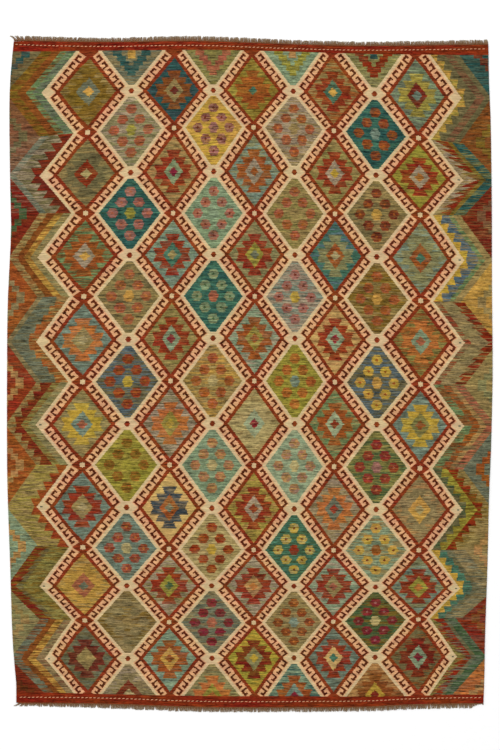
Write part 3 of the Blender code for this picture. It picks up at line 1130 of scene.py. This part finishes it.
STRAND_STRAY_MM = 0.8
LOCK_CUT_MM = (-2.0, 1.0)  # how unevenly the locks were cut, and the strands in them
STRAND_CUT_MM = (-3.0, 0.5)
STRAND_WIDTHS = (0.7, 1.2)  # of the width set
THINNING = 0.35  # how much of its width a strand loses to its tip
BED_MM = 1.4  # the height at which the lowest strands lie, at the root
BED_DEPTH_MM = 1.6
SETTLING = 0.4  # how much of its height a strand loses to its tip
KNOT_PITCH = 7.0 * MM
KNOT_RADIUS = 1.9 * MM
KNOT_SIZES = (0.8, 1.15)
KNOT_OUTSIDE_MM = 1.6  # from the cloth's end to the knots' middle
KNOT_RINGS = 5  # in one pitch
KNOT_SIDES = 8
FRINGE_SEED = 7
WARP_TWIST = 260.0  # the wave's scale: a ridge each 2 pi / 10 / 260 m, which is 2.4 mm
# painted light on the warp plies' crests and painted shade in their grooves, along the twist's wave
WARP_PLY_PAINTED_SHADING = Range(low=0.0, high=1.0, first=0.8, last=1.15)
FLUFF_SHARE = Range(low=0.1, high=0.9, first=0.7, last=0.0)
PALER_TIP = 0.45
YARN_BUMP = (0.5, 0.3 * MM)  # strength and height


def spun_warp(book):
    """Undyed warp yarn, hand-spun of grey and brown wool: matt, with a twist along it whose
    ridges carry painted light and painted shade, each strand a little lighter or darker than
    the next, redder at the root, where it is matted with fluff of the band, and paler at the tip, where
    it thins."""
    material, tree = new_material("undyed_warp_yarn")
    strand, length = (
        add(tree, "Attribute", attribute_name=name).outputs["Fac"] for name in ("strand", "length")
    )
    place = add(tree, "TexCoord").outputs["Object"]
    plies = add(tree, "TexWave", place, WARP_TWIST, 2.0, 2.0, bands_direction="DIAGONAL")
    mixed = add(tree, "Math", length, PALER_TIP, strand, operation="MULTIPLY_ADD")
    yarns = rgba(book.warp_brown), rgba(book.warp_grey)
    colour = add(tree, "Mix", mixed, *yarns, data_type="RGBA")
    fluff = add(tree, "MapRange", length, *FLUFF_SHARE)
    colour = add(tree, "Mix", fluff, colour, rgba(book.russet), data_type="RGBA")
    # Painted light on the plies' crests and painted shade in the grooves between them, on the same wave
    # as the bump.
    value = add(tree, "MapRange", plies, *WARP_PLY_PAINTED_SHADING)
    colour = add(tree, "HueSaturation", 0.5, 1.0, value, 1.0, colour)
    bump = add(tree, "Bump", *YARN_BUMP, None, plies)
    return surface(material, colour, roughness=0.95, gloss=0.15, normal=bump)


def tubes(paths, radii, sides, along):
    """The points of many tubes at once. paths is tubes x rings x 3 and radii tubes x rings.
    The tubes run along X or Y: a ring is path + radius * (cos, sin), in Z and the other of
    the two."""
    angles = 2 * np.pi * (np.arange(sides) + 0.5) / sides
    around = np.zeros((sides, 3))
    around[:, 1 - along] = np.cos(angles)
    around[:, 2] = np.sin(angles)
    return paths[:, :, None, :] + radii[:, :, None, None] * around


def ring_faces(count, rings, sides, turned):
    """The faces of many stacks of rings of points, each closed by a face at both ends, or
    the same faces turned over."""
    index = np.arange(count * rings * sides).reshape(count, rings, sides)
    after = np.roll(index, -1, axis=2)
    walls = [index[:, :-1], index[:, 1:], after[:, 1:], after[:, :-1]]
    walls = np.stack(walls, axis=-1).reshape(-1, 4)
    ends = np.concatenate([index[:, 0], index[:, -1, ::-1]])
    step = -1 if turned else 1
    return walls[:, ::step].tolist() + ends[:, ::step].tolist()


def make_strands(end, away, sizes, material, rng):
    """Strands side by side along one end, in locks. Each runs straight out of the cloth along
    Y, strays sideways by its lock's lean * w**2 over its length, w from 0 to 1, draws in
    towards the middle of its lock and thins to its tip."""
    count = sizes.strands
    left = EDGES[end][0].min() + FROM_CORNER
    right = EDGES[end][0].max() - FROM_CORNER
    x = np.linspace(left, right, count) + rng.uniform(-1.0, 1.0, count) * MM
    lock = np.arange(count) // STRANDS_PER_LOCK
    locks = lock[-1] + 1
    lock_middle = np.bincount(lock, x) / np.bincount(lock)
    lock_lean = rng.normal(0, LOCK_STRAY_MM, locks)
    lock_lean[: len(CORNER_LOCKS)] = CORNER_LOCKS
    lock_cut = rng.uniform(*LOCK_CUT_MM, locks)
    root = edge_at(end, x) - away * STRAND_ROOT
    reach = np.interp(x, [r.across for r in FRINGE_REACH], [getattr(r, end) for r in FRINGE_REACH])
    reach = reach + (lock_cut[lock] + rng.uniform(*STRAND_CUT_MM, count)) * MM
    lean = lock_lean[lock] * MM + (lock_middle[lock] - x) * GATHERED
    lean = lean + rng.normal(0, STRAND_STRAY_MM, count) * MM
    w = np.linspace(0, 1, STRAND_RINGS)[None, :]
    curl = rng.uniform(-1, 1, count)[:, None] * MM
    curl = curl * np.sin(w * 5 + rng.uniform(0, 6, count)[:, None])
    width = sizes.strand_width * rng.uniform(*STRAND_WIDTHS, count)[:, None]
    radii = width / 2 * (1 - THINNING * w)
    bed = (BED_MM + rng.uniform(0, BED_DEPTH_MM, count)[:, None]) * MM
    paths = np.stack(
        [
            x[:, None] + lean[:, None] * w**2 + curl * w,
            root[:, None] + away * (reach[:, None] + STRAND_ROOT) * w,
            bed * (1 - SETTLING * w),
        ],
        axis=-1,
    )
    points = tubes(paths, radii, STRAND_SIDES, along=1)
    faces = ring_faces(count, STRAND_RINGS, STRAND_SIDES, turned=away < 0)
    fringe = make_piece(end + "_strands", points, faces, material)
    shades = np.repeat(rng.uniform(0, 0.8, count), STRAND_RINGS * STRAND_SIDES)
    lengths = np.tile(np.repeat(w[0], STRAND_SIDES), count)
    put_attribute(fringe, "strand", "FLOAT", "POINT", shades)
    put_attribute(fringe, "length", "FLOAT", "POINT", lengths)
    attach(fringe, "root")
    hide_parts(end + "_fringe")


def make_knots(end, away, material, rng):
    """The row of knots that holds the last weft, against the cloth's end: one tube along the
    end, whose radius swells and sinks from knot to knot as r * (1 + 0.3 * |sin|)."""
    left = EDGES[end][0].min() + 2 * MM
    right = EDGES[end][0].max() - 2 * MM
    x = np.arange(left, right, KNOT_PITCH / KNOT_RINGS)
    count = len(x) // KNOT_RINGS + 1
    y = edge_at(end, x) + away * (KNOT_OUTSIDE_MM + rng.uniform(-0.4, 0.4, len(x))) * MM
    radii = KNOT_RADIUS * np.repeat(rng.uniform(*KNOT_SIZES, count), KNOT_RINGS)[: len(x)]
    radii = radii * (1 + 0.3 * np.abs(np.sin(np.pi * (x - left) / KNOT_PITCH)))
    paths = np.stack([x, y, 0.2 * MM + radii], axis=-1)[None]
    points = tubes(paths, radii[None], KNOT_SIDES, along=0)
    faces = ring_faces(1, len(x), KNOT_SIDES, turned=False)
    knots = make_piece(end + "_knots", points, faces, material)
    shades = np.repeat(rng.uniform(0, 0.5, count), KNOT_RINGS)[: len(x)]
    put_attribute(knots, "strand", "FLOAT", "POINT", np.repeat(shades, KNOT_SIDES))
    put_attribute(knots, "length", "FLOAT", "POINT", np.full(len(x) * KNOT_SIDES, 0.2))
    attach(knots, "root")


# ---------------------------------------------------------------- the twined lines


TWINING_INSET = {"far": 0.018, "near": 0.0237}  # from the cloth's end to the twined line
TWINING_SEED = 21
FROM_SELVEDGE = 12 * MM
RED_STITCH = 6 * MM  # length of the dark red stitches, between the cream ones
HALF_STITCH_WIDTH = 1.7 * MM
STITCH_RISE = 1.5 * MM
STITCH_SINK = 0.4 * MM
STITCH_SLANT = 0.14  # radians, and how far it strays
SLANT_SPREAD = 0.12
STITCH_RINGS = 3
STITCH_SIDES = 8
STITCH_TWIST = 190.0  # the wave's scale: a ridge each 3.3 mm
# painted light on the stitch plies' crests and painted shade in their grooves, along the twist's wave
STITCH_PLY_PAINTED_SHADING = Range(low=0.0, high=1.0, first=0.85, last=1.1)


def twined_yarn(colour, name):
    """Two-ply wool twined over the finished weave: plump, matt stitches whose plies show as
    fine slanting ridges, with painted light on their crests and painted shade in their grooves."""
    material, tree = new_material(name)
    place = add(tree, "TexCoord").outputs["Object"]
    plies = add(tree, "TexWave", place, STITCH_TWIST, 1.0, 2.0, bands_direction="DIAGONAL")
    # Painted light on the plies' crests and painted shade in the grooves between them, on the same wave
    # as the bump.
    value = add(tree, "MapRange", plies, *STITCH_PLY_PAINTED_SHADING)
    shade = add(tree, "HueSaturation", 0.5, 1.0, value, 1.0, colour)
    bump = add(tree, "Bump", *YARN_BUMP, None, plies)
    return surface(material, shade, roughness=0.92, gloss=0.15, normal=bump)


def make_twining(end, away, dye, first, length, sizes, book, rng):
    """A line of stitches along one end, the first of them that many pitches in. Each is an
    ellipsoid, half sunk into the cloth:
    (length/2 * cos v * cos u, width/2 * cos v * sin u, rise * sin v), turned by its slant."""
    left = EDGES[end][0].min() + FROM_SELVEDGE
    right = EDGES[end][0].max() - FROM_SELVEDGE
    x = np.arange(left + first * sizes.stitch_pitch, right, sizes.stitch_pitch)
    count = len(x)
    x = x + rng.uniform(-1.0, 1.0, count) * MM
    y = edge_at(end, x) - away * (TWINING_INSET[end] + rng.uniform(-0.5, 0.5, count) * MM)
    z = sizes.thickness + lift_of_floor(x, y, sizes.lift) - STITCH_SINK
    u = np.linspace(0, 2 * np.pi, STITCH_SIDES, endpoint=False)
    v = np.linspace(-np.pi / 2, np.pi / 2, STITCH_RINGS + 2)[1:-1]
    v, u = np.meshgrid(v, u, indexing="ij")
    along = length / 2 * np.cos(v) * np.cos(u)
    aside = HALF_STITCH_WIDTH * np.cos(v) * np.sin(u)
    turn = STITCH_SLANT + rng.uniform(-SLANT_SPREAD, SLANT_SPREAD, count)[:, None, None]
    points = np.stack(
        [
            x[:, None, None] + along * np.cos(turn) - aside * np.sin(turn),
            y[:, None, None] + along * np.sin(turn) + aside * np.cos(turn),
            z[:, None, None] + STITCH_RISE * np.sin(v) + 0 * turn,
        ],
        axis=-1,
    )
    faces = ring_faces(count, STITCH_RINGS, STITCH_SIDES, turned=True)
    material = twined_yarn(rgba(getattr(book, dye)), "twined_" + dye + "_wool")
    line = make_piece(end + "_twining_" + dye, points, faces, material)
    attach(line, "root")


# ---------------------------------------------------------------- the stage


FRAME_HEIGHT = 3.150  # metres of rug and floor from the picture's top edge to its bottom edge
LENS = 85.0
SENSOR = 36.0
CENTRE = (0.001, -0.006)
FLOOR_SIDE = 14.0
FLOOR_DROP = 0.4 * MM
DAYLIGHT = 0.73
SOFTBOX_SIZE = 7.5
SOFTBOX_WATTS = 1200.0
SOFTBOX_PLACE = (-6.0, 7.5, 13.5)
SOFTBOX_TURN = (np.radians(-26.9), np.radians(-23.9), 0)
MOTTLE = (40.0, 3.0, 0.5)  # the paper's noise: its scale, detail and roughness
MOTTLE_SHARE = Range(low=0.3, high=0.7, first=0.0, last=1.0)


def white_paper():
    """Matt white paper: an even, soft white with hardly any gloss and a faint mottle of some
    25 mm."""
    material, tree = new_material("matt_white_paper")
    place = add(tree, "TexCoord").outputs["Object"]
    grain = add(tree, "TexNoise", place, *MOTTLE)
    share = add(tree, "MapRange", grain, *MOTTLE_SHARE)
    whites = rgba(linear("#fdfdfd")), rgba(linear("#ffffff"))
    colour = add(tree, "Mix", share, *whites, data_type="RGBA")
    return surface(material, colour, roughness=0.9, gloss=0.1)


def set_stage(scene):
    """A camera straight above the rug, on a white paper floor, in even daylight."""
    camera_data = bpy.data.cameras.new("camera")
    camera_data.lens = LENS
    camera_data.sensor_width = SENSOR
    camera_data.sensor_fit = "AUTO"
    camera = bpy.data.objects.new("camera", camera_data)
    camera.location = (*CENTRE, FRAME_HEIGHT * LENS / SENSOR + 4 * MM)
    scene.collection.objects.link(camera)
    scene.camera = camera

    corners = np.array([(-1, -1), (1, -1), (1, 1), (-1, 1)]) * FLOOR_SIDE
    corners = np.column_stack([corners, np.full(4, -FLOOR_DROP)])
    floor = make_piece("floor", corners, [[0, 1, 2, 3]], white_paper(), smooth=False)

    scene.view_settings.view_transform = "Standard"
    world = bpy.data.worlds.new("daylight")
    world.use_nodes = True
    background = world.node_tree.nodes["Background"]
    background.inputs["Color"].default_value = rgba(linear("#ffffff"))
    background.inputs["Strength"].default_value = DAYLIGHT
    scene.world = world
    light_data = bpy.data.lights.new("softbox", "AREA")
    light_data.shape = "SQUARE"
    light_data.size = SOFTBOX_SIZE
    light_data.energy = SOFTBOX_WATTS
    light = bpy.data.objects.new("softbox", light_data)
    light.location = SOFTBOX_PLACE
    light.rotation_euler = SOFTBOX_TURN
    scene.collection.objects.link(light)


# ---------------------------------------------------------------- operators


ENDS = (("far", 1.0), ("near", -1.0))  # each end's name and the way along Y that leads off it


class KILIM_OT_stage(bpy.types.Operator):
    """Sets the camera above the rug, the pale floor and the soft light."""

    bl_idname = "kilim.stage"
    bl_label = "Set the stage"

    def execute(self, context):
        set_stage(context.scene)
        return {"FINISHED"}


class KILIM_OT_fringes(bpy.types.Operator):
    """Makes the fringe of knotted warp strands at both ends."""

    bl_idname = "kilim.fringes"
    bl_label = "Fringe both ends"

    def execute(self, context):
        rng = np.random.default_rng(FRINGE_SEED)
        material = spun_warp(context.scene.kilim_dyes)
        for end, away in ENDS:
            make_strands(end, away, context.scene.kilim_sizes, material, rng)
            make_knots(end, away, material, rng)
        return {"FINISHED"}


class KILIM_OT_twining(bpy.types.Operator):
    """Twines the cream and dark red lines along both end bands."""

    bl_idname = "kilim.twining"
    bl_label = "Twine the end bands"

    def execute(self, context):
        rng = np.random.default_rng(TWINING_SEED)
        sizes = context.scene.kilim_sizes
        book = context.scene.kilim_dyes
        for end, away in ENDS:
            make_twining(end, away, "stitch_cream", 0.0, sizes.stitch_length, sizes, book, rng)
            make_twining(end, away, "dark_red", 0.5, RED_STITCH, sizes, book, rng)
        return {"FINISHED"}


class KILIM_OT_cloth(bpy.types.Operator):
    """Weaves the cloth with its diamonds, borders and end bands."""

    bl_idname = "kilim.cloth"
    bl_label = "Weave the cloth"

    def execute(self, context):
        cloth = weave_cloth(context.scene.kilim_sizes, context.scene.kilim_dyes)
        return {"FINISHED"}


class KILIM_PT_panel(bpy.types.Panel):
    """The kilim's pieces, sizes and dyes."""

    bl_idname = "KILIM_PT_panel"
    bl_label = "Kilim rug"
    bl_space_type = "VIEW_3D"
    bl_region_type = "UI"
    bl_category = "Kilim"

    def draw(self, context):
        for operator in OPERATORS:
            self.layout.operator(operator.bl_idname)
        for settings in (context.scene.kilim_sizes, context.scene.kilim_dyes):
            for name in settings.__annotations__:
                self.layout.prop(settings, name)


OPERATORS = (KILIM_OT_stage, KILIM_OT_fringes, KILIM_OT_twining, KILIM_OT_cloth)
CLASSES = (KilimDyes, KilimSizes, *OPERATORS, KILIM_PT_panel)


def register():
    for item in CLASSES:
        bpy.utils.register_class(item)
    bpy.types.Scene.kilim_dyes = PointerProperty(type=KilimDyes)
    bpy.types.Scene.kilim_sizes = PointerProperty(type=KilimSizes)


def unregister():
    del bpy.types.Scene.kilim_sizes
    del bpy.types.Scene.kilim_dyes
    for item in reversed(CLASSES):
        bpy.utils.unregister_class(item)


def main():
    register()
    bpy.ops.kilim.stage()
    bpy.ops.kilim.fringes()
    bpy.ops.kilim.twining()
    bpy.ops.kilim.cloth()


if __name__ == "__main__":
    main()
